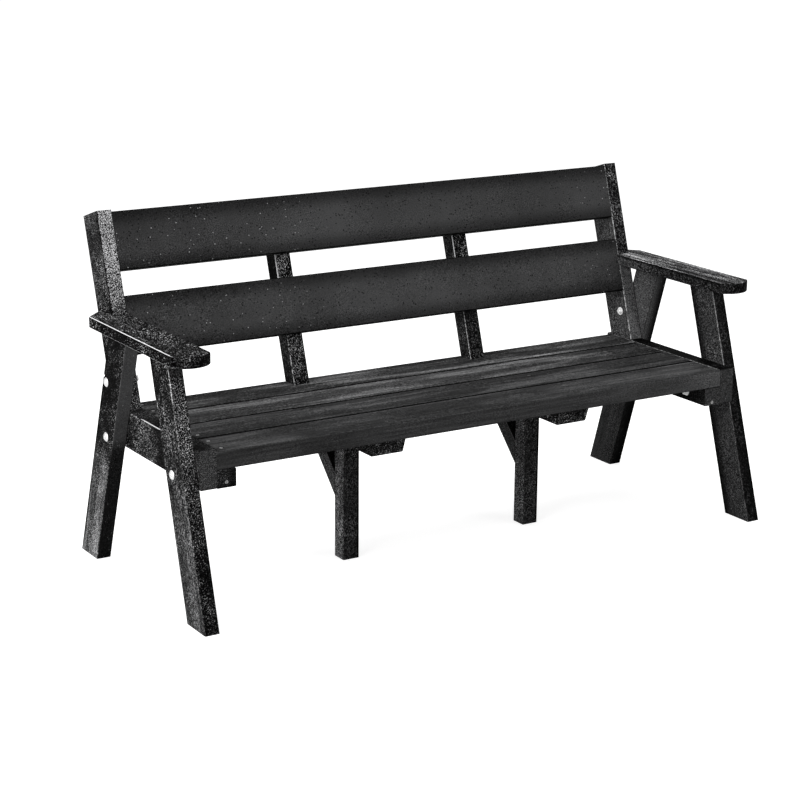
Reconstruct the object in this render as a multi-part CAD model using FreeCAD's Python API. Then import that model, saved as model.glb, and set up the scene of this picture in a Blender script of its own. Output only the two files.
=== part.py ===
import FreeCAD, Part
import os
from math import sin, cos, tan, radians, sqrt

os.makedirs("parts", exist_ok=True)

# ----------------------------------------------------------------------------
# Convertible bench: plank seat, slatted back that lifts out, notched armrests.
# Millimetres. X along the bench, +Y towards the back, +Z up.
# Built about the middle of the footprint, then shifted in Y so that the origin
# is the bottom centre of the whole bench's box.
# The two ends are drawn on the right-hand side; the left one is mirrored. Hand
# assembly leaves them a few millimetres different, so each has its own numbers.
# ----------------------------------------------------------------------------

# board sections
T = 38.1                 # thickness of the legs
RAIL_T = 44.1            # thickness of the rails
ARRIS = 3.0              # rounded long edges of the boards
ARM_ARRIS = 2.6
HALF_SEAT = 755.5        # half length of the seat planks

# layers outwards from the seat, in X
X_RAIL0 = 756.0          # half the clear width between the rails
X_RAIL1 = X_RAIL0 + RAIL_T
X_LEG0 = X_RAIL1
X_LEG1 = X_LEG0 + T

# legs, side view (Y at the floor, slope dY/dz)
LEG_TOP = 616.5
FRONT_FOOT = (-356.9, -260.1)
FRONT_SLOPE = {"right": 0.320, "left": 0.286}
REAR_FOOT = {"right": (259.7, 358.6), "left": (260.3, 359.3)}
REAR_SLOPE = {"right": -0.308, "left": -0.346}

# seat
SEAT_TOP = 409.7
PLANK_T = 45.0
PLANK_W = 118.5
PLANK_GAP = 5.0
SEAT_FRONT = -265.0
SEAT_UNDER = SEAT_TOP - PLANK_T
RAIL_Z = {"right": (319.0, 411.5), "left": (321.5, 418.5)}
RAIL_Y = (-265.5, 236.0)
CLEAT_X = 705.5
CLEAT_Z = {"right": 317.0, "left": 320.0}
CLEAT_Y = (-265.0, 215.0)

# battens under the seat, middle legs and their braces
BATTEN_X = 279.0
BATTEN_W = 92.0
BATTEN_Z = 326.3
BATTEN_Y_LOW = (-241.0, 201.0)
BATTEN_Y_TOP = (-255.0, 215.0)
MID_X = {"right": 282.4, "left": 276.6}
MID_W = 46.5
MID_Y = (-66.0, -20.0)
BRACE_Z = (161.5, 223.0)
BRACE_RISE = 1.02

# back: leaning plane, s runs up the posts and n runs towards the rear
TILT = radians(17.67)
BACK_Y = 134.3           # post front edge at the height BACK_Z
BACK_Z = 419.6
POST_X = (760.0, 799.7)
POST_D = 89.2
POST_S = 497.5
SLAT_END = 760.0
SLAT_T = 40.0
SLAT_LOW = (133.8, 281.8)
SLAT_UP = (344.8, 492.8)
STILE_X = (-285.5, 264.0)
STILE_W = 46.0
STILE_D = 49.2
STILE_S = 485.0
REST_GAP = 0.3           # gap under the posts and stiles, which lift off

# armrests
ARM_Z = (616.5, 645.3)
ARM_X = (757.0, 854.5)
ARM_FRONT = -268.0
ARM_SHOULDER = (-244.0, -240.0)    # inner and outer end of the bowed front
ARM_CUT = (225.0, 275.0)
ARM_TIP_X = 804.0
NOTCH_GAP = 0.5
ARM_SCREW_Y = {"right": (-134.0, -90.0, 88.0, 144.0), "left": (-156.0, -106.0, 68.0, 118.0)}

# through bolts with domed heads
SHANK = 4.75
HOLE = 5.0
DOME_R = 12.0
DOME_H = 5.5
NECK = 9.5
NECK_L = 6.0
WASHER_R = 11.0
WASHER_T = 1.6
NUT_AF = 14.3
NUT_T = 8.3
LOW_NUT_T = 4.2          # low nuts on the back's bolts
RAIL_BOLTS = {"right": ((-188.0, 341.0), (188.0, 340.0)), "left": ((-195.6, 348.4), (180.3, 345.8))}
BACK_BOLT = {"right": (184.5, 484.5), "left": (169.0, 489.0)}
HEAD_GAP = 0.3           # the back's bolt heads clear the leg's face
LIFT = (0.70710678, 0.70710678)   # lift-out direction in Y and Z
LEG_NOTCH = 5.05         # half width of the open notch that the back's bolt rests in

# wood-type screws
SCREW_R = 2.2
SCREW_HEAD = 4.3
SCREW_HEAD_H = 3.0
CLEAT_END_Z = {"right": 325.0, "left": 333.5}
FIT = 0.1                # clearance round screws


def V(x, y, z):
    return FreeCAD.Vector(x, y, z)


def prism_x(pts, x0, x1):
    """Polygon in the side view, pushed along the bench."""
    wire = Part.makePolygon([V(x0, y, z) for y, z in pts] + [V(x0, pts[0][0], pts[0][1])])
    return Part.Face(wire).extrude(V(x1 - x0, 0, 0))


def box(x0, x1, y0, y1, z0, z1):
    return Part.makeBox(x1 - x0, y1 - y0, z1 - z0, V(x0, y0, z0))


def soften(shape, direction, radius=ARRIS):
    """Round every straight edge that runs along the given direction."""
    d = V(*direction)
    d.normalize()
    pick = []
    for e in shape.Edges:
        a, b = e.Vertexes[0].Point, e.Vertexes[-1].Point
        t = b.sub(a)
        if t.Length > 10 and abs(t.dot(d)) / t.Length > 0.9999:
            pick.append(e)
    return shape.makeFillet(radius, pick)


def back_pt(s, n):
    return (BACK_Y + s * sin(TILT) + n * cos(TILT),
            BACK_Z + s * cos(TILT) - n * sin(TILT))


def back_s(z, n):
    """How far up the back a point of depth n has the height z."""
    return (z - BACK_Z + n * sin(TILT)) / cos(TILT)


def cyl(p, d, r, length):
    return Part.makeCylinder(r, length, V(*p), V(*d))


def screw(p, d, length, above=1.0):
    """Countersunk screw: head face at p, point along d. Returns solid and cutter."""
    p, d = V(*p), V(*d)
    d.normalize()
    head = Part.makeCone(SCREW_HEAD, SCREW_R, SCREW_HEAD_H, p, d)
    shank = Part.makeCylinder(SCREW_R, length - 5, p, d)
    tip = Part.makeCone(SCREW_R, 0.3, 5, p + d * (length - 5), d)
    solid = head.fuse(shank).fuse(tip).removeSplitter()
    # a cross recess in the head
    u = V(0, 0, 1).cross(d)
    if u.Length < 0.5:
        u = V(1, 0, 0)
    u.normalize()
    w = d.cross(u)
    for a, b in ((u, w), (w, u)):
        q = p - a * 2.3 - b * 0.45 - d * 0.2
        face = Part.Face(Part.makePolygon([q, q + a * 4.6, q + a * 4.6 + b * 0.9, q + b * 0.9, q]))
        solid = solid.cut(face.extrude(d * 1.6))
    r = SCREW_R + FIT
    cut = Part.makeCylinder(r, length + 0.5, p, d)
    cut = cut.fuse(Part.makeCone(SCREW_HEAD + FIT, r, SCREW_HEAD_H + FIT, p, d))
    cut = cut.fuse(Part.makeCylinder(SCREW_HEAD + FIT, above, p, d * -1))
    return solid, cut


def square_bar(x0, x1, y, z, side, along):
    """Square bar along X, one pair of its sides along the given side-view direction."""
    h = side / 2.0
    a = (along[0] * h, along[1] * h)
    b = (-along[1] * h, along[0] * h)
    pts = [(y + i * a[0] + j * b[0], z + i * a[1] + j * b[1]) for i, j in ((-1, -1), (1, -1), (1, 1), (-1, 1))]
    return prism_x(pts, x0, x1)


def dome_bolt(x_face, x_end, y, z, along):
    """Bolt along X on the right-hand side: dome outside x_face, end at x_end."""
    ball = (DOME_R ** 2 + DOME_H ** 2) / (2 * DOME_H)
    cap = Part.makeSphere(ball, V(x_face + DOME_H - ball, y, z))
    cap = cap.common(Part.makeCylinder(DOME_R + 1, DOME_H + 1, V(x_face, y, z), V(1, 0, 0)))
    neck = square_bar(x_face - NECK_L, x_face, y, z, NECK, along)
    shank = Part.makeCylinder(SHANK, x_face - x_end - 1.0, V(x_face, y, z), V(-1, 0, 0))
    tip = Part.makeCone(SHANK, SHANK - 1.0, 1.0, V(x_end + 1.0, y, z), V(-1, 0, 0))
    return cap.fuse(neck).fuse(shank).fuse(tip).removeSplitter()


def washer(x_out, y, z):
    ring = Part.makeCylinder(WASHER_R, WASHER_T, V(x_out, y, z), V(-1, 0, 0))
    return ring.cut(Part.makeCylinder(HOLE, WASHER_T + 2, V(x_out + 1, y, z), V(-1, 0, 0)))


def nut(x_out, y, z, t=NUT_T):
    r = NUT_AF / sqrt(3.0)
    pts = [(y + r * cos(radians(60 * i)), z + r * sin(radians(60 * i))) for i in range(6)]
    body = prism_x(pts, x_out - t, x_out)
    ring = Part.makeCone(r + 0.1, r - 0.9, 2.2, V(x_out - t + 1.3, y, z), V(-1, 0, 0))
    body = body.common(ring.fuse(Part.makeCylinder(r + 0.1, t, V(x_out, y, z), V(-1, 0, 0)).cut(
        Part.makeCylinder(r + 1, 2, V(x_out - t + 1.3, y, z), V(-1, 0, 0)))))
    return body.cut(Part.makeCylinder(SHANK + 0.05, t + 2, V(x_out + 1, y, z), V(-1, 0, 0)))


def mirrored(shape):
    return shape.mirror(V(0, 0, 0), V(1, 0, 0))


parts = {}
hardware = {}
cuts = []          # cutters for every board; each cuts only the boards it meets


def put(side, name, shape):
    """Keep a piece drawn on the right-hand side under its own side's name."""
    parts[side + "_" + name] = shape if side == "right" else mirrored(shape)


def add_hw(side, name, solid):
    hardware.setdefault(name, []).append(solid if side == "right" else mirrored(solid))


def add_cut(side, cutter):
    cuts.append(cutter if side == "right" else mirrored(cutter))


def add_screw(side, name, p, d, length, above=1.0):
    s, c = screw(p, d, length, above)
    add_hw(side, name, s)
    add_cut(side, c)


for side in ("right", "left"):
    # ------------------------------------------------------------- end legs
    f0, f1 = FRONT_FOOT
    k = FRONT_SLOPE[side]
    front = prism_x([(f0, 0), (f1, 0), (f1 + k * LEG_TOP, LEG_TOP), (f0 + k * LEG_TOP, LEG_TOP)], X_LEG0, X_LEG1)
    put(side, "front_leg", soften(front, (0, k, 1)))

    r0, r1 = REAR_FOOT[side]
    k = REAR_SLOPE[side]
    rear = prism_x([(r0, 0), (r1, 0), (r1 + k * LEG_TOP, LEG_TOP), (r0 + k * LEG_TOP, LEG_TOP)], X_LEG0, X_LEG1)
    rear = soften(rear, (0, k, 1))
    # open notch from the back's bolt to the rear edge of the leg
    by, bz = BACK_BOLT[side]
    h = LEG_NOTCH
    a, b = LIFT, (-LIFT[1], LIFT[0])
    notch = [(by + t * a[0] + w * b[0], bz + t * a[1] + w * b[1]) for t, w in ((-h, -h), (45, -h), (45, h), (-h, h))]
    put(side, "rear_leg", rear.cut(prism_x(notch, X_LEG0 - 5, X_LEG1 + 5)))

    # ----------------------------------------------------------- seat frame
    z0, z1 = RAIL_Z[side]
    put(side, "seat_rail", soften(box(X_RAIL0, X_RAIL1, RAIL_Y[0], RAIL_Y[1], z0, z1), (0, 1, 0)))
    put(side, "seat_cleat", soften(box(CLEAT_X, X_RAIL0, CLEAT_Y[0], CLEAT_Y[1], CLEAT_Z[side], SEAT_UNDER), (0, 1, 0), 2.0))

    batten = prism_x([(BATTEN_Y_LOW[0], BATTEN_Z), (BATTEN_Y_LOW[1], BATTEN_Z), (BATTEN_Y_TOP[1], SEAT_UNDER), (BATTEN_Y_TOP[0], SEAT_UNDER)],
                     BATTEN_X - BATTEN_W / 2, BATTEN_X + BATTEN_W / 2)
    put(side, "seat_batten", soften(batten, (0, 1, 0)))

    mx = MID_X[side]
    put(side, "middle_leg", soften(box(mx - MID_W / 2, mx + MID_W / 2, MID_Y[0], MID_Y[1], 0, BATTEN_Z), (0, 0, 1)))
    y0 = MID_Y[1]
    brace = prism_x([(y0, BRACE_Z[0]), (y0 + (BATTEN_Z - BRACE_Z[0]) / BRACE_RISE, BATTEN_Z),
                     (y0 + (BATTEN_Z - BRACE_Z[1]) / BRACE_RISE, BATTEN_Z), (y0, BRACE_Z[1])],
                    mx - MID_W / 2, mx + MID_W / 2)
    put(side, "middle_brace", soften(brace, (0, 1, BRACE_RISE)))

# -------------------------------------------------------------- seat planks
plank_mid = []
for i in range(4):
    y = SEAT_FRONT + i * (PLANK_W + PLANK_GAP)
    plank_mid.append(y + PLANK_W / 2)
    parts["seat_plank_%d" % (i + 1)] = soften(box(-HALF_SEAT, HALF_SEAT, y, y + PLANK_W, SEAT_UNDER, SEAT_TOP), (1, 0, 0), 4.0)

# --------------------------------------------------------------------- back
for side in ("right", "left"):
    z = RAIL_Z[side][1] + REST_GAP
    post = prism_x([back_pt(back_s(z, 0), 0), back_pt(POST_S, 0), back_pt(POST_S, POST_D), back_pt(back_s(z, POST_D), POST_D)], *POST_X)
    put(side, "back_post", soften(post, (0, sin(TILT), cos(TILT))))

for name, (s0, s1) in (("back_slat_lower", SLAT_LOW), ("back_slat_upper", SLAT_UP)):
    slat = prism_x([back_pt(s0, 0), back_pt(s1, 0), back_pt(s1, SLAT_T), back_pt(s0, SLAT_T)], -SLAT_END, SLAT_END)
    parts[name] = soften(slat, (1, 0, 0), 4.0)

n0, n1 = SLAT_T, SLAT_T + STILE_D
zb = SEAT_TOP + REST_GAP
for name, x in (("left_back_stile", STILE_X[0]), ("right_back_stile", STILE_X[1])):
    stile = prism_x([back_pt(back_s(zb, n0), n0), back_pt(STILE_S, n0), back_pt(STILE_S, n1), back_pt(back_s(zb, n1), n1)],
                    x - STILE_W / 2, x + STILE_W / 2)
    parts[name] = soften(stile, (0, sin(TILT), cos(TILT)))

# ---------------------------------------------------------------- armrests
ax0, ax1 = ARM_X
p1, p2 = V(ax0, ARM_SHOULDER[0], ARM_Z[0]), V(ax1, ARM_SHOULDER[1], ARM_Z[0])
bow = Part.Arc(p1, V((ax0 + ax1) / 2, ARM_FRONT, ARM_Z[0]), p2).toShape()
corners = [p2, V(ax1, ARM_CUT[0], ARM_Z[0]), V(ARM_TIP_X, ARM_CUT[1], ARM_Z[0]), V(ax0, ARM_CUT[1], ARM_Z[0]), p1]
wire = Part.Wire([bow] + [Part.makeLine(corners[i], corners[i + 1]) for i in range(4)])
arm = Part.Face(wire).extrude(V(0, 0, ARM_Z[1] - ARM_Z[0]))
rim = [e for e in arm.Edges if all(abs(v.Z - ARM_Z[1]) < 0.01 for v in e.Vertexes) or all(abs(v.Z - ARM_Z[0]) < 0.01 for v in e.Vertexes)]
arm = arm.makeFillet(ARM_ARRIS, rim)
# notch round the back's post, its front wall leaning with the post
q = [back_pt(120, -NOTCH_GAP), back_pt(300, -NOTCH_GAP), (500, 700), (500, 560)]
arm = arm.cut(prism_x(q, ax0 - 20, X_LEG0))
for side in ("right", "left"):
    put(side, "armrest", arm.copy())

# ------------------------------------------------------------ through bolts
end_x = CLEAT_X - WASHER_T - NUT_T - 3.5
px0, px1 = POST_X
up = (0.0, 1.0)
for side in ("right", "left"):
    for y, z in RAIL_BOLTS[side]:
        add_hw(side, "rail_bolts", dome_bolt(X_LEG1, end_x, y, z, up))
        add_hw(side, "rail_bolt_washers", washer(CLEAT_X, y, z))
        add_hw(side, "rail_bolt_nuts", nut(CLEAT_X - WASHER_T, y, z))
        c = Part.makeCylinder(HOLE, X_LEG1 - CLEAT_X + 4, V(CLEAT_X - 2, y, z), V(1, 0, 0))
        c = c.fuse(square_bar(X_LEG1 - NECK_L - 0.2, X_LEG1 + 2, y, z, NECK + 0.2, up))
        add_cut(side, c)
    by, bz = BACK_BOLT[side]
    add_hw(side, "back_bolts", dome_bolt(X_LEG1 + HEAD_GAP, px0 - WASHER_T - LOW_NUT_T - 1.0, by, bz, LIFT))
    add_hw(side, "back_bolt_washers", washer(px0, by, bz))
    add_hw(side, "back_bolt_nuts", nut(px0 - WASHER_T, by, bz, LOW_NUT_T))
    hole = Part.makeCylinder(HOLE, px1 - px0 + 4, V(px0 - 2, by, bz), V(1, 0, 0))
    name = side + "_back_post"
    parts[name] = parts[name].cut(hole if side == "right" else mirrored(hole))

# ------------------------------------------------------------------- screws
leg_mid = (X_LEG0 + X_LEG1) / 2
for side in ("right", "left"):
    for y in ARM_SCREW_Y[side]:
        add_screw(side, "armrest_screws", (leg_mid - 3, y, ARM_Z[1]), (0, 0, -1), 68)

    for y in plank_mid:
        for o in (-33.0, 33.0):
            add_screw(side, "plank_end_screws", (731.0, y + o, SEAT_TOP), (0, 0, -1), 60)
            add_screw(side, "plank_batten_screws", (BATTEN_X, y + o, SEAT_TOP), (0, 0, -1), 60)

    for y in (-145.0, -22.5, 100.0):
        add_screw(side, "cleat_screws", (CLEAT_X, y, 345.0), (1, 0, 0), 80)
    add_screw(side, "cleat_screws", (731.0, CLEAT_Y[0], CLEAT_END_Z[side]), (0, 1, 0), 48)

    mx = MID_X[side]
    for dx in (-13.0, 13.0):
        add_screw(side, "middle_leg_screws", (mx + dx, sum(MID_Y) / 2, SEAT_UNDER), (0, 0, -1), 95)
    zs = 188.0
    add_screw(side, "brace_screws", (mx, y0 + (zs - BRACE_Z[0]) / BRACE_RISE - 3, zs), (0, -1, 0), 52, 14.0)
    ys = 96.0
    add_screw(side, "brace_screws", (mx, ys, BRACE_Z[0] + (ys - y0) * BRACE_RISE + 3), (0, 0, 1), 60, 14.0)

    for s in (SLAT_LOW[0] + 25, SLAT_LOW[1] - 25, SLAT_UP[0] + 25, SLAT_UP[1] - 25):
        y, z = back_pt(s, SLAT_T / 2)
        add_screw(side, "slat_end_screws", (px1, y, z), (-1, 0, 0), 80)
for x in STILE_X:
    for s in (SLAT_LOW[0] + 37, SLAT_LOW[1] - 37, SLAT_UP[0] + 37, SLAT_UP[1] - 37):
        y, z = back_pt(s, n1)
        add_screw("right", "stile_screws", (x, y, z), (0, -cos(TILT), sin(TILT)), 76)

# --------------------------------------------------------- cut the holes
for name in list(parts):
    shape = parts[name]
    bb = shape.BoundBox
    mine = [c for c in cuts if bb.intersect(c.BoundBox)]
    mine = [c for c in mine if shape.distToShape(c)[0] < 1e-6]
    for c in mine:
        shape = shape.cut(c)
    parts[name] = shape

for name, solids in hardware.items():
    parts[name] = Part.makeCompound(solids)

# ------------------------------------------------------- move and write out
rear_most = back_pt(POST_S, POST_D)[0]
shift = -(min(FRONT_FOOT) + rear_most) / 2
for name, shape in parts.items():
    moved = shape.copy()
    moved.translate(V(0, shift, 0))
    if len(moved.Solids) == 1 and name not in hardware:
        moved = moved.Solids[0]
    moved.exportStep("parts/%s.step" % name)

print("nodes", len(parts), "shift", round(shift, 4))
for name, shape in parts.items():
    b = shape.BoundBox
    print(name, len(shape.Solids), shape.isValid(), round(shape.Volume), [round(v, 1) for v in (b.XMin, b.XMax, b.YMin, b.YMax, b.ZMin, b.ZMax)])
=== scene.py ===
import bpy, math
from mathutils import Matrix, Vector


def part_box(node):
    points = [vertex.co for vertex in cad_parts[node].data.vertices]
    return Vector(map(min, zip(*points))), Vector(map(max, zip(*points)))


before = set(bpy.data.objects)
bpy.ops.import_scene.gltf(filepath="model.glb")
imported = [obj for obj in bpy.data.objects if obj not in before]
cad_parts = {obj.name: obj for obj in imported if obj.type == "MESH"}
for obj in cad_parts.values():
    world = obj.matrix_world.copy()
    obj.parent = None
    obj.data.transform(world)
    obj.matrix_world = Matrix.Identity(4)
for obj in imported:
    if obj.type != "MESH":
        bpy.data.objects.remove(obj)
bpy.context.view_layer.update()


# ------------------------------------------------------------------ camera
def make_camera():
    az, el, roll = math.radians(-31.8), math.radians(15.33), math.radians(0.48)
    back = Vector((math.sin(az) * math.cos(el), -math.cos(az) * math.cos(el), math.sin(el)))
    fwd = -back
    right = fwd.cross(Vector((0, 0, 1))).normalized()
    up = right.cross(fwd).normalized()
    x = right * math.cos(roll) + up * math.sin(roll)
    y = -right * math.sin(roll) + up * math.cos(roll)
    cam = bpy.data.objects.new("camera", bpy.data.cameras.new("camera"))
    bpy.context.scene.collection.objects.link(cam)
    cam.data.sensor_width = 36.0
    cam.data.lens = 93.38
    cam.data.clip_end = 60.0
    m = Matrix((x, y, back)).transposed().to_4x4()
    m.translation = Vector((-2.82158, -4.40778, 1.80098))
    cam.matrix_world = m
    bpy.context.scene.camera = cam


make_camera()


# ------------------------------------------------------------- node helpers
class Graph:
    """Short calls that add shader nodes to one material and link them."""

    def __init__(self, name):
        self.mat = bpy.data.materials.new(name)
        self.mat.use_nodes = True
        self.nt = self.mat.node_tree
        self.bsdf = self.nt.nodes["Principled BSDF"]
        tc = self.nt.nodes.new("ShaderNodeTexCoord")
        self.P, self.N = tc.outputs["Object"], tc.outputs["Normal"]

    def put(self, node, socket, value):
        s = node.inputs[socket]
        if isinstance(value, bpy.types.NodeSocket):
            self.nt.links.new(value, s)
        elif value is not None:
            s.default_value = value

    def math(self, op, a, b=None, c=None, clamp=False):
        n = self.nt.nodes.new("ShaderNodeMath")
        n.operation = op
        n.use_clamp = clamp
        for i, v in enumerate((a, b, c)):
            self.put(n, i, v)
        return n.outputs[0]

    def add(self, a, b): return self.math("ADD", a, b)
    def sub(self, a, b): return self.math("SUBTRACT", a, b)
    def mul(self, a, b): return self.math("MULTIPLY", a, b)

    def vec(self, op, a, b):
        n = self.nt.nodes.new("ShaderNodeVectorMath")
        n.operation = op
        self.put(n, 0, a)
        self.put(n, 1, b)
        return n.outputs["Value"] if op == "DOT_PRODUCT" else n.outputs["Vector"]

    def xyz(self, x, y, z):
        n = self.nt.nodes.new("ShaderNodeCombineXYZ")
        for i, v in enumerate((x, y, z)):
            self.put(n, i, v)
        return n.outputs[0]

    def split(self, v):
        n = self.nt.nodes.new("ShaderNodeSeparateXYZ")
        self.put(n, 0, v)
        return n.outputs

    def remap(self, x, a, b, c=0.0, d=1.0, smooth=True):
        n = self.nt.nodes.new("ShaderNodeMapRange")
        n.interpolation_type = "SMOOTHSTEP" if smooth else "LINEAR"
        for i, v in enumerate((x, a, b, c, d)):
            self.put(n, i, v)
        return n.outputs[0]

    def noise(self, v, scale, detail=2.0, rough=0.5, warp=0.0):
        n = self.nt.nodes.new("ShaderNodeTexNoise")
        self.put(n, "Vector", v)
        self.put(n, "Scale", scale)
        self.put(n, "Detail", detail)
        self.put(n, "Roughness", rough)
        self.put(n, "Distortion", warp)
        return n.outputs["Fac"] if "Fac" in n.outputs else n.outputs[0]

    def cells(self, v, scale):
        n = self.nt.nodes.new("ShaderNodeTexVoronoi")
        self.put(n, "Vector", v)
        self.put(n, "Scale", scale)
        return n.outputs["Distance"]

    def ramp(self, x, stops):
        """Up to three numbers at once, changing along x. stops: (place, (a, b, c))."""
        n = self.nt.nodes.new("ShaderNodeValToRGB")
        e = n.color_ramp.elements
        n.color_ramp.interpolation = "EASE"
        while len(e) < len(stops):
            e.new(0.5)
        for el, (p, c) in zip(e, stops):
            el.position = p
            el.color = (*c, 1.0)
        self.put(n, 0, x)
        return n.outputs["Color"]

    def mixv(self, f, a, b):
        n = self.nt.nodes.new("ShaderNodeMix")
        n.data_type = "VECTOR"
        n.factor_mode = "UNIFORM"
        self.put(n, 0, f)
        self.put(n, 4, a)
        self.put(n, 5, b)
        return n.outputs[1]

    def bump(self, height, strength, distance):
        n = self.nt.nodes.new("ShaderNodeBump")
        self.put(n, "Height", height)
        self.put(n, "Strength", strength)
        self.put(n, "Distance", distance)
        return n.outputs[0]


# ------------------------------------------------------------ plastic lumber
# A board has its own axes: l along it, w across it, t through it. The look is
# given as (tone, grain, streak): how light it is to the eye, how strong the
# salt-and-pepper grain is, and how strong the lengthwise drag marks are. The tone
# is set face by face and changes along the board; besides the board's own colour
# it holds painted light and shade, faces lighter or darker by how the lamps fall on them.
AX = {"l": 0, "w": 1, "t": 2}
count = 0


def lumber(node, along, across, through, base, faces=(), painted_arrises=(), stretch=1.4, size=0.0021,
           drag=(0.16, 0.009), shade=0.0, half_w=0.05, painted_arris_shade=-0.06, flecks=0.25, patch=0.35,
           lump=0.25, bands=(), pale_patches=None, fleck_zone=None, pits=0.0):
    global count
    count += 1
    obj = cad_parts[node]
    lo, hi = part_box(node)
    o = (Vector(lo) + Vector(hi)) / 2
    hs = (Vector(hi) - Vector(lo)) / 2
    ax = [Vector(v).normalized() for v in (along, across, through)]
    i = max(range(3), key=lambda k: abs(ax[0][k]))
    half = hs[i] / abs(ax[0][i])

    g = Graph("lumber_" + node)
    p = g.vec("SUBTRACT", g.P, tuple(o))
    l, w, t = [g.vec("DOT_PRODUCT", p, tuple(a)) for a in ax]
    nn = [g.vec("DOT_PRODUCT", g.N, tuple(a)) for a in ax]
    neg = [g.mul(v, -1.0) for v in nn]

    def n_of(code):                       # "t+" is the component along +t
        return (nn if code[1] == "+" else neg)[AX[code[0]]]

    s = 7.31 * count                      # every board is cut from other stock
    q = g.xyz(g.add(l, s), g.add(w, 0.37 * s), g.add(t, 0.61 * s))
    place = g.remap(l, -half, half, 0.0, 1.0, smooth=False)

    # tones may lie below zero on dark, coarse-grained faces
    base = (base[0] + LIFT, base[1], base[2])
    finish_and_painted_light = g.xyz(*base)
    # painted light and shade: each face, picked by its normal, gets its own tone, often changing along the board,
    # lighter where that face looks lit and darker where it looks shaded
    for code, stops in faces:
        m = g.remap(n_of(code), 0.72, 0.95)
        if isinstance(stops[0], tuple):
            f = g.ramp(place, [(a, (b[0] + LIFT, b[1], b[2])) for a, b in stops])
        else:
            f = g.xyz(stops[0] + LIFT, stops[1], stops[2])
        finish_and_painted_light = g.mixv(m, finish_and_painted_light, f)
    tone, grain, streak = g.split(finish_and_painted_light)
    tone = g.sub(tone, LIFT)

    # grain: pressed flakes, lighter and darker than the board
    gq = g.vec("MULTIPLY", q, (1.0 / stretch, 1.0, 1.0))
    fine = g.remap(g.noise(gq, 1.0 / size, 1.0, 0.5), 0.30, 0.70, -1.0, 1.0, smooth=False)
    coarse = g.remap(g.noise(gq, 0.38 / size, 2.0, 0.6), 0.32, 0.68, -1.0, 1.0, smooth=False)
    grit = g.add(g.mul(fine, 0.80), g.mul(coarse, lump))
    spread = g.remap(g.noise(q, 14.0, 2.0, 0.6), 0.35, 0.65, 1.0 - patch, 1.0 + patch)
    # drag marks of the extruder, long and narrow
    dq = g.vec("MULTIPLY", q, (drag[1] / drag[0], 1.0, 1.0))
    marks = g.remap(g.noise(dq, 1.0 / drag[1], 3.0, 0.65), 0.32, 0.68, -1.0, 1.0, smooth=False)
    broad = g.remap(g.noise(dq, 0.24 / drag[1], 2.0, 0.5), 0.35, 0.65, -1.0, 1.0, smooth=False)
    lines = g.add(g.mul(marks, 0.7), g.mul(broad, 0.0 if pale_patches else 0.55))
    cloud = g.remap(g.noise(q, 5.0, 3.0, 0.6), 0.3, 0.7, 0.92, 1.08, smooth=False)

    v = g.mul(tone, cloud)
    # painted shade: darker towards both long edges of the face
    if shade:
        v = g.mul(v, g.remap(g.math("ABSOLUTE", w), 0.35 * half_w, half_w, 1.0, 1.0 - shade))
    v = g.math("MULTIPLY_ADD", g.mul(grit, spread), g.mul(grain, GRAIN), v)
    # painted light and shade, lighter or darker towards one edge: (axis, from, to, change, face)
    for code, a, b, amount, face in bands:
        m = g.remap({"l": l, "w": w, "t": t}[code], a, b)
        if face:
            m = g.mul(m, g.remap(n_of(face), 0.72, 0.95))
        v = g.mul(v, g.math("MULTIPLY_ADD", m, amount, 1.0))
    v = g.math("MULTIPLY_ADD", lines, g.mul(streak, DRAG), v)
    if pale_patches:                              # paler patches, longer than wide
        amount, wide, long = pale_patches
        wq = g.vec("MULTIPLY", q, (wide / long, 1.0, 1.0))
        m = g.remap(g.noise(wq, 1.0 / wide, 3.0, 0.55, 0.4), 0.44, 0.66)
        m = g.mul(m, g.mul(g.remap(n_of("t+"), 0.72, 0.95), g.math("MULTIPLY_ADD", marks, 0.45, 1.0)))
        v = g.math("MULTIPLY_ADD", m, amount, v)
    # a few pale flecks
    fleck = g.remap(g.cells(q, 62.0), 0.06, 0.11, 1.0, 0.0)
    if fleck_zone:
        fleck = g.mul(fleck, g.split(g.ramp(place, [(a, (b, b, b)) for a, b in fleck_zone]))[0])
    v = g.math("MULTIPLY_ADD", fleck, flecks, v)
    if pits:                              # small dark pores
        pit = g.remap(g.cells(q, 118.0), 0.17, 0.29, 1.0, 0.0)
        some = g.remap(g.noise(q, 64.0, 1.0), 0.46, 0.56)
        v = g.mul(v, g.math("MULTIPLY_ADD", g.mul(pit, some), -pits, 1.0))

    # painted highlights and painted dark lines along the arrises, where two faces meet, broken into dashes: first a
    # painted dark line along every arris, then the listed ones
    arris_glint_breakup = g.remap(g.noise(q, 120.0, 2.0, 0.7), 0.40, 0.60, 0.25, 1.3)
    absn = [g.math("ABSOLUTE", x) for x in nn]
    any_edge = g.remap(g.math("MINIMUM", absn[1], absn[2]), 0.25, 0.6)
    v = g.math("MULTIPLY_ADD", g.mul(any_edge, arris_glint_breakup), painted_arris_shade, v)
    # painted highlight (positive amount) or painted shade (negative amount) along one arris, optionally only over
    # part of the board's length
    for spec in painted_arrises:
        a, b, amount = spec[:3]
        m = g.remap(g.math("MINIMUM", n_of(a), n_of(b)), 0.2, 0.55)
        if len(spec) > 3:
            t0, t1 = spec[3:5]
            m = g.mul(m, g.remap(place, t0 - 0.03, t0 + 0.03))
            m = g.mul(m, g.remap(place, t1 - 0.03, t1 + 0.03, 1.0, 0.0))
        soft = spec[5] if len(spec) > 5 else 0.0
        k = arris_glint_breakup if not soft else g.add(g.mul(arris_glint_breakup, 1.0 - soft), soft)
        v = g.math("MULTIPLY_ADD", g.mul(m, k), amount, v)

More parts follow.
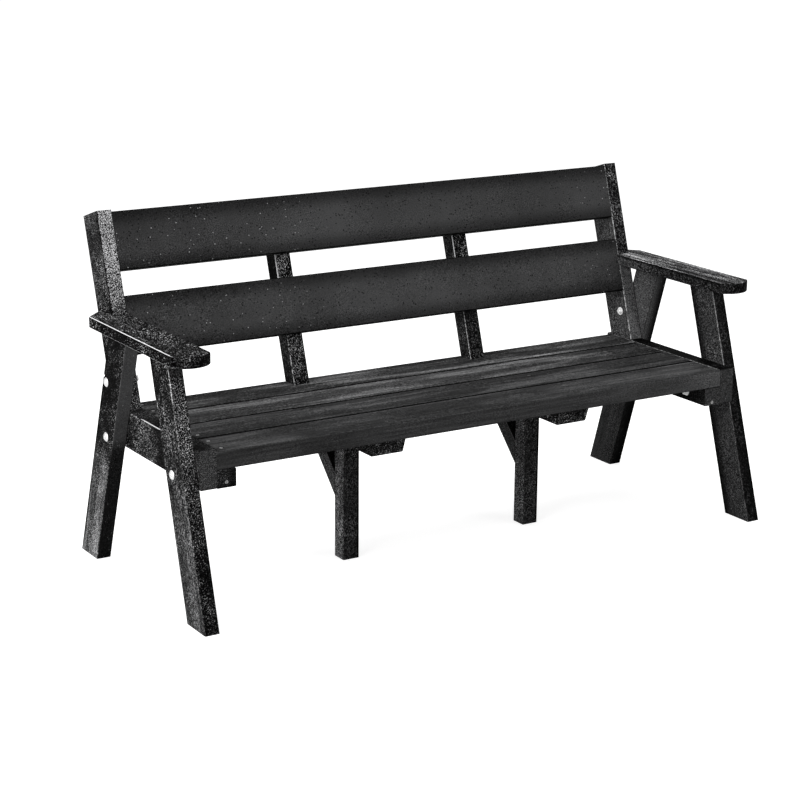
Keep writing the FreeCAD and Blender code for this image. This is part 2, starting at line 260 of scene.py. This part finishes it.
    v = g.math("MAXIMUM", v, 0.03)
    v = g.math("MINIMUM", v, 1.0)
    a = g.mul(g.math("POWER", v, 2.2), ALBEDO)
    col = g.nt.nodes.new("ShaderNodeCombineColor")
    for k, f in enumerate((1.0, 1.0, 1.015)):
        g.put(col, k, g.mul(a, f))
    g.put(g.bsdf, "Base Color", col.outputs[0])
    rough = g.math("MULTIPLY_ADD", grit, 0.10, 0.60)
    g.put(g.bsdf, "Roughness", g.math("MAXIMUM", rough, 0.35))
    g.bsdf.inputs["Specular IOR Level"].default_value = 0.015
    height = g.add(g.mul(g.mul(grit, spread), g.remap(grain, 0.0, 0.3, 0.25, 1.0)), g.mul(lines, g.mul(streak, 3.0)))
    g.put(g.bsdf, "Normal", g.bump(height, 0.35, 0.0005))
    obj.data.materials.clear()
    obj.data.materials.append(g.mat)


ALBEDO = 0.62
LIFT = 0.4
GRAIN = 2.8
DRAG = 2.2

SLOPE = {"left": (0.286, -0.346), "right": (0.320, -0.308)}
TILT = math.radians(17.67)
UP = (0.0, math.sin(TILT), math.cos(TILT))            # up the leaning back
OUT = (0.0, -math.cos(TILT), math.sin(TILT))          # out of its front face

# painted light and shade: below, the per-face tones and their changes along each board, the bands and the arris
# entries stand in for how the lamps light and shade each face
for side, sx in (("left", -1.0), ("right", 1.0)):
    left = side == "left"
    kf, kr = SLOPE[side]
    # axes of the legs: up, towards the front, outwards
    if left:
        lumber("left_front_leg", (0, kf, 1), (0, -1, kf), (sx, 0, 0), (0.20, 0.09, 0.02),
               faces=[("t+", [(0.0, (0.30, 0.15, 0.07)), (0.42, (0.24, 0.17, 0.06)), (0.60, (0.0, 0.23, 0.05)), (0.72, (-0.05, 0.32, 0.04)), (0.9, (-0.20, 0.42, 0.03))]),
                      ("t-", (0.21, 0.07, 0.02)),
                      ("w+", [(0.0, (-0.10, 0.28, 0.0)), (0.42, (-0.08, 0.28, 0.0)), (0.60, (0.13, 0.40, 0.0)), (0.80, (0.13, 0.42, 0.0)), (0.90, (0.10, 0.44, 0.0)), (0.935, (0.20, 0.09, 0.0)), (1.0, (0.20, 0.05, 0.0))])],
               painted_arrises=[("t+", "w+", 0.10, -0.1, 0.62), ("t+", "w+", 0.35, 0.64, 0.84, 0.1), ("t+", "w+", 0.80, 0.84, 0.95, 0.6)], stretch=1.5)
        lumber("left_rear_leg", (0, kr, 1), (0, -1, kr), (sx, 0, 0), (0.20, 0.08, 0.02),
               faces=[("t+", [(0.0, (0.42, 0.21, 0.12)), (0.42, (0.34, 0.21, 0.10)), (0.55, (-0.24, 0.34, 0.02)), (0.75, (-0.31, 0.36, 0.0)), (1.0, (-0.15, 0.26, 0.0))]),
                      ("t-", (0.25, 0.05, 0.02)),
                      ("w+", [(0.0, (0.11, 0.04, 0.0)), (0.52, (0.14, 0.04, 0.0)), (0.60, (0.355, 0.02, 0.0)), (1.0, (0.355, 0.02, 0.0))])],
               painted_arrises=[("t+", "w+", 0.20, 0.5, 1.1, 0.3)], stretch=1.6, bands=[("w", -0.02, -0.047, -0.45, "t+")])
    else:
        lumber("right_front_leg", (0, kf, 1), (0, -1, kf), (sx, 0, 0), (0.20, 0.09, 0.02),
               faces=[("t+", (0.26, 0.12, 0.05)), ("t-", [(0.0, (0.235, 0.085, 0.0)), (0.42, (0.245, 0.085, 0.0)), (0.6, (0.265, 0.12, 0.0)), (1.0, (0.265, 0.12, 0.0))]),
                      ("w+", [(0.0, (0.08, 0.07, 0.0)), (0.5, (0.09, 0.08, 0.0)), (0.65, (0.14, 0.09, 0.0)), (1.0, (0.13, 0.09, 0.0))])],
               painted_arrises=[("t-", "w+", 0.50, 0.45, 0.97, 0.5), ("t-", "w+", 0.20, -0.1, 0.45)], stretch=1.4,
               bands=[("w", -0.005, -0.045, -0.60, "t-"), ("t", 0.0, 0.019, -0.5, "w+")])
        lumber("right_rear_leg", (0, kr, 1), (0, -1, kr), (sx, 0, 0), (0.20, 0.08, 0.02),
               faces=[("t+", (0.26, 0.12, 0.05)),
                      ("t-", [(0.0, (0.27, 0.07, 0.02)), (0.5, (0.29, 0.07, 0.02)), (0.66, (0.385, 0.09, 0.0)), (1.0, (0.365, 0.09, 0.0))]),
                      ("w+", [(0.0, (0.10, 0.05, 0.0)), (0.5, (0.12, 0.05, 0.0)), (0.62, (0.36, 0.07, 0.0)), (1.0, (0.33, 0.05, 0.0))])],
               painted_arris_shade=0.0, painted_arrises=[("t+", "w+", -0.10)], stretch=1.5,
               bands=[("w", -0.040, -0.047, -0.60, "t-"), ("w", 0.0, 0.046, -0.12, "t-"), ("t", -0.017, 0.017, -0.75, "w+")])
    # rails: along the bench's depth, up, outwards
    lumber(side + "_seat_rail", (0, 1, 0), (0, 0, 1), (sx, 0, 0), (0.20, 0.09, 0.03),
           faces=[("t+", [(0.0, (0.18, 0.12, 0.0)), (0.22, (0.04, 0.13, 0.0)), (0.40, (0.05, 0.09, 0.0)), (0.50, (0.05, 0.24, 0.0)), (0.62, (0.06, 0.32, 0.0)), (0.82, (0.06, 0.32, 0.0)), (1.0, (0.16, 0.14, 0.0))]),
                  ("t-", (0.13, 0.07, 0.03)), ("w+", (-0.07, 0.26, 0.0) if left else [(0.0, (-0.04, 0.12, 0.0)), (0.79, (-0.04, 0.12, 0.0)), (0.86, (0.20, 0.08, 0.0)), (1.0, (0.20, 0.08, 0.0))]), ("l-", (0.255, 0.09, 0.0) if left else (0.25, 0.045, 0.0))],
           painted_arrises=[("t+", "w+", 1.5, 0.28, 0.62, 0.8)] if left else [("t-", "w+", 0.36, 0.02, 1.02, 0.2)])
    lumber(side + "_seat_cleat", (0, 1, 0), (0, 0, 1), (sx, 0, 0), (0.14, 0.12, 0.02) if left else (0.10, 0.10, 0.02),
           faces=[("l-", (0.12, 0.13, 0.0) if left else (0.24, 0.06, 0.0))],
           bands=[("t", 0.005, -0.024, -0.45, "l-"), ("w", -0.008, -0.022, -0.45, "l-")] if left else ())
    lumber(side + "_seat_batten", (0, 1, 0), (1, 0, 0), (0, 0, 1), (-0.02, 0.36, 0.0) if left else (-0.19, 0.34, 0.0))
    lumber(side + "_middle_leg", (0, 0, 1), (0, -1, 0), (-1, 0, 0), (0.18, 0.06, 0.02),
           faces=[("t+", (0.37, 0.26, 0.03) if left else (0.29, 0.22, 0.02)), ("w+", (0.185, 0.11, 0.0) if left else (0.15, 0.12, 0.0))],
           painted_arrises=[("t+", "w+", 0.12, -0.1, 1.1, 0.6), ("t-", "w+", -0.2)],
           bands=[("t", -0.014, -0.021, -0.85, "w+")])
    lumber(side + "_middle_brace", (0, 1, 1.02), (0, -1.02, 1), (-1, 0, 0), (0.17, 0.08, 0.02),
           faces=[("t+", (0.36, 0.14, 0.03) if left else (0.27, 0.12, 0.03)), ("w+", (0.10, 0.08, 0.0))], painted_arrises=[("t+", "w+", 0.30, -0.1, 1.1, 0.7)])
    # armrests: along the bench's depth, outwards, up
    if left:
        # painted highlight: bright lines along the left armrest's outer top and bottom arrises
        lumber("left_armrest", (0, 1, 0), (sx, 0, 0), (0, 0, 1), (0.12, 0.10, 0.02),
               faces=[("t+", [(0.0, (-0.20, 0.37, 0.02)), (0.5, (-0.04, 0.32, 0.03)), (1.0, (0.02, 0.36, 0.02))]), ("w+", (-0.38, 0.52, 0.0)), ("l-", (0.05, 0.14, 0.0)), ("l+", (-0.2, 0.4, 0.0))],
               size=0.0032, patch=0.25,
               painted_arrises=[("t+", "w+", 1.5, 0.06, 1.1, 0.9), ("t-", "w+", 1.0, 0.05, 1.1, 0.7), ("t+", "l-", 0.10)],
               bands=[("w", -0.02, 0.03, 0.70, "l-"), ("t", 0.006, 0.013, -0.7, "w+"), ("t", -0.007, -0.013, -0.7, "w+")])
    else:
        lumber("right_armrest", (0, 1, 0), (sx, 0, 0), (0, 0, 1), (0.15, 0.10, 0.02),
               faces=[("t+", [(0.0, (0.26, 0.24, 0.22)), (0.5, (0.38, 0.26, 0.24)), (1.0, (0.36, 0.26, 0.22))]), ("w-", [(0.0, (0.12, 0.11, 0.0)), (0.5, (0.17, 0.10, 0.0)), (0.72, (0.25, 0.08, 0.0)), (1.0, (0.37, 0.07, 0.0))]),
                      ("l-", (0.04, 0.14, 0.0)), ("w+", (0.16, 0.13, 0.0))],
               painted_arrises=[("t+", "l-", 0.08), ("t+", "w-", -0.10), ("t+", "w+", -0.20)], painted_arris_shade=0.0, size=0.0027, patch=0.25,
               bands=[("w", 0.005, 0.045, -0.28, "t+"), ("t", 0.004, 0.013, -0.5, "w-")])
    # posts of the back
    if left:
        lumber("left_back_post", UP, OUT, (sx, 0, 0), (0.19, 0.10, 0.02),
               faces=[("t+", [(0.0, (-0.30, 0.42, 0.0)), (0.5, (-0.28, 0.42, 0.0)), (0.65, (0.0, 0.34, 0.02)), (1.0, (0.02, 0.33, 0.02))]), ("t-", (0.26, 0.08, 0.02)),
                      ("w+", [(0.0, (0.15, 0.36, 0.0)), (0.42, (0.15, 0.42, 0.0)), (0.58, (0.25, 0.50, 0.0)), (0.68, (0.36, 0.52, 0.0)), (0.76, (0.46, 0.53, 0.0)), (1.0, (0.44, 0.53, 0.0))])],
               painted_arrises=[("t+", "w+", -0.16)], stretch=1.1, bands=[("w", 0.028, 0.043, -0.45, "t+")])
    else:
        lumber("right_back_post", UP, OUT, (sx, 0, 0), (0.19, 0.10, 0.02),
               faces=[("t+", (0.22, 0.20, 0.03)), ("t-", (0.30, 0.10, 0.02)),
                      ("w+", [(0.0, (0.43, 0.08, 0.0)), (0.42, (0.42, 0.08, 0.0)), (0.50, (0.05, 0.24, 0.0)), (1.0, (0.01, 0.28, 0.0))])],
               painted_arrises=[("t-", "w+", 0.62, 0.45, 1.1, 0.4), ("t-", "w+", 0.55, -0.1, 0.45, 0.1)], painted_arris_shade=0.0, stretch=1.1)

# the seat: smooth planks, with paler, streaky patches on their tops
for n, (stops, grain, pale_patches) in enumerate((
        (((0.0, 0.222), (0.45, 0.195), (0.8, 0.215), (1.0, 0.235)), 0.034, 0.08),
        (((0.0, 0.205), (0.5, 0.20), (1.0, 0.195)), 0.042, 0.10),
        (((0.0, 0.225), (0.5, 0.255), (1.0, 0.195)), 0.058, 0.18),
        (((0.0, 0.24), (0.5, 0.20), (1.0, 0.20)), 0.068, 0.22)), 1):
    # painted shade: the front faces of planks 2 to 4, seen down in the gaps, are near black and their front arrises
    # darkened; painted light makes plank 1's front face lighter towards its right end
    lumber("seat_plank_%d" % n, (1, 0, 0), (0, -1, 0), (0, 0, 1), (0.18, 0.03, 0.01),
           faces=[("t+", [(a, (b, grain, 0.012 + 0.006 * n)) for a, b in stops]),
                  ("w+", [(0.0, (0.24, 0.020, 0.030)), (0.5, (0.255, 0.018, 0.026)), (0.88, (0.295, 0.018, 0.022)), (1.0, (0.36, 0.04, 0.0))] if n == 1 else (0.04, 0.02, 0.0))],
           painted_arrises=[("t+", "w+", 0.05, -0.1, 1.1, 1.0)] if n == 1 else [("t+", "w+", -0.10, -0.1, 1.1, 1.0)],
           painted_arris_shade=0.0, size=0.0024, stretch=2.0, drag=(0.20, 0.007), flecks=0.08, pale_patches=(pale_patches, 0.045, 0.36))

for name, k in (("back_slat_lower", 1.0), ("back_slat_upper", 0.96)):
    # painted shade: each slat is darker towards its long edges and its upper edge, with painted dark lines along its
    # arrises, and painted a little lighter mid-length
    lumber(name, (1, 0, 0), UP, OUT, (0.20, 0.03, 0.0),
           faces=[("t+", [(0.0, (0.275 * k, 0.032, 0.0)), (0.45, (0.313 * k, 0.020, 0.0)), (1.0, (0.302 * k, 0.026, 0.0))])], shade=0.34, half_w=0.074, painted_arris_shade=-0.16, size=0.0027,
           stretch=1.1, flecks=0.55, lump=0.0, patch=0.5, fleck_zone=[(0.0, 1.0), (0.28, 0.8), (0.42, 0.12), (0.85, 0.15), (1.0, 0.9)], pits=0.5,
           bands=[("w", 0.0, 0.07, -0.08, "t+")])
for side, sx in (("left", -1.0), ("right", 1.0)):
    left = side == "left"
    # painted highlight: bright lines along the stiles' front arrises
    lumber(side + "_back_stile", UP, (sx, 0, 0), OUT, (0.15, 0.12, 0.02),
           faces=[("t+", [(0.0, (-0.20, 0.48, 0.0)), (0.3, (-0.20, 0.48, 0.0)), (0.48, (-0.26, 0.75, 0.0)), (1.0, (-0.26, 0.75, 0.0))] if left
                   else [(0.0, (0.11, 0.14, 0.0)), (0.3, (0.11, 0.14, 0.0)), (0.48, (-0.10, 0.44, 0.0)), (1.0, (-0.10, 0.44, 0.0))]),
                  ("w+", [(0.0, (0.02, 0.24, 0.0)), (0.35, (0.02, 0.24, 0.0)), (0.5, (0.0, 0.10, 0.0)), (1.0, (0.0, 0.10, 0.0))]) if left
                  else ("w-", [(0.0, (0.07, 0.20, 0.0)), (0.35, (0.07, 0.20, 0.0)), (0.5, (0.09, 0.16, 0.0)), (1.0, (0.09, 0.16, 0.0))])],
           painted_arrises=[("t+", "w+", 1.0, -0.1, 0.4, 0.0), ("t+", "w+", 2.2, 0.4, 1.1, 0.8)] if left
           else [("t+", "w-", 0.75, -0.1, 0.4, 0.4), ("t+", "w-", 1.9, 0.4, 1.1, 0.8)])


# ------------------------------------------------------------------- metals
def steel(name, tone, rough, nodes, grime, metal=1.0, fade=1.0):
    g = Graph(name)
    wear = g.noise(g.P, 900.0, 3.0, 0.6)
    blot = g.remap(g.noise(g.P, 260.0, 2.0, 0.6), 0.42, 0.62)
    v = g.sub(g.add(tone, g.mul(g.sub(wear, 0.5), 0.15)), g.mul(blot, grime))
    # darker towards +x, down to the fade factor at x = 0.6 m
    v = g.mul(v, g.remap(g.split(g.P)[0], -0.3, 0.6, 1.0, fade))
    col = g.nt.nodes.new("ShaderNodeCombineColor")
    for k, f in enumerate((1.0, 1.0, 1.0)):
        g.put(col, k, g.mul(v, f))
    g.put(g.bsdf, "Base Color", col.outputs[0])
    g.bsdf.inputs["Metallic"].default_value = metal
    g.put(g.bsdf, "Roughness", g.math("MULTIPLY_ADD", wear, 0.2, rough))
    g.put(g.bsdf, "Normal", g.bump(wear, 0.15, 0.0002))
    for n in nodes:
        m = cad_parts[n].data.materials
        m.clear()
        m.append(g.mat)


# painted highlight: bolt heads, nuts and washers get a near-white colour that is only partly metallic, so they read
# as bright glints; the nuts, which sit in shade, are the whitest and least metallic
steel("bolt_steel", 0.95, 0.28, ["rail_bolts", "back_bolts"], 0.30, 0.5)
steel("nut_steel_painted_glint", 0.97, 0.28, ["rail_bolt_washers", "rail_bolt_nuts", "back_bolt_washers", "back_bolt_nuts"], 0.05, 0.1)
steel("pale_screw_steel", 0.40, 0.3, ["cleat_screws"], 0.2)
steel("plank_end_screw_steel", 0.42, 0.4, ["plank_end_screws"], 0.15, 1.0, 0.3)
steel("dark_screw_steel", 0.10, 0.4, [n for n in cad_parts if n.endswith("screws") and n not in ("cleat_screws", "plank_end_screws")], 0.05)

# -------------------------------------------------------------------- stage
mesh = bpy.data.meshes.new("floor")
s = 30
mesh.from_pydata([(-s, -s, 0), (s, -s, 0), (s, s, 0), (-s, s, 0)], [], [(0, 1, 2, 3)])
floor = bpy.data.objects.new("floor", mesh)
bpy.context.scene.collection.objects.link(floor)
fm = bpy.data.materials.new("floor_pale")
fm.use_nodes = True
nt = fm.node_tree
fb = nt.nodes["Principled BSDF"]
fb.inputs["Base Color"].default_value = (0.6, 0.6, 0.6, 1)
fb.inputs["Roughness"].default_value = 0.9
fb.inputs["Specular IOR Level"].default_value = 0.0
glow = nt.nodes.new("ShaderNodeEmission")
glow.inputs["Strength"].default_value = 0.78
both = nt.nodes.new("ShaderNodeAddShader")
pick = nt.nodes.new("ShaderNodeMixShader")
seen = nt.nodes.new("ShaderNodeLightPath")
nt.links.new(fb.outputs[0], both.inputs[0])
nt.links.new(glow.outputs[0], both.inputs[1])
nt.links.new(seen.outputs["Is Camera Ray"], pick.inputs[0])
nt.links.new(fb.outputs[0], pick.inputs[1])
nt.links.new(both.outputs[0], pick.inputs[2])
nt.links.new(pick.outputs[0], nt.nodes["Material Output"].inputs["Surface"])
mesh.materials.append(fm)

world = bpy.data.worlds.new("world")
bpy.context.scene.world = world
world.use_nodes = True
nt = world.node_tree
bg = nt.nodes["Background"]
lp = nt.nodes.new("ShaderNodeLightPath")
mr = nt.nodes.new("ShaderNodeMapRange")
nt.links.new(lp.outputs["Is Camera Ray"], mr.inputs[0])
mr.inputs[3].default_value = 0.45
mr.inputs[4].default_value = 1.0
nt.links.new(mr.outputs[0], bg.inputs["Strength"])
bg.inputs["Color"].default_value = (1, 1, 1, 1)


def area(name, at, aim, size, power):
    d = bpy.data.lights.new(name, "AREA")
    d.shape = "RECTANGLE"
    d.size, d.size_y = size
    d.energy = power
    o = bpy.data.objects.new(name, d)
    bpy.context.scene.collection.objects.link(o)
    o.location = at
    o.rotation_euler = (Vector(aim) - Vector(at)).to_track_quat("-Z", "Y").to_euler()


area("key", (-4.6, -1.2, 2.6), (0, 0, 0.45), (3.2, 2.6), 210)
area("top", (0.2, 0.6, 3.6), (0, 0, 0.4), (3.6, 2.2), 110)
area("front", (3.2, -4.2, 2.0), (0.5, 0, 0.5), (2.4, 2.0), 60)
bpy.context.scene.view_settings.view_transform = "Standard"
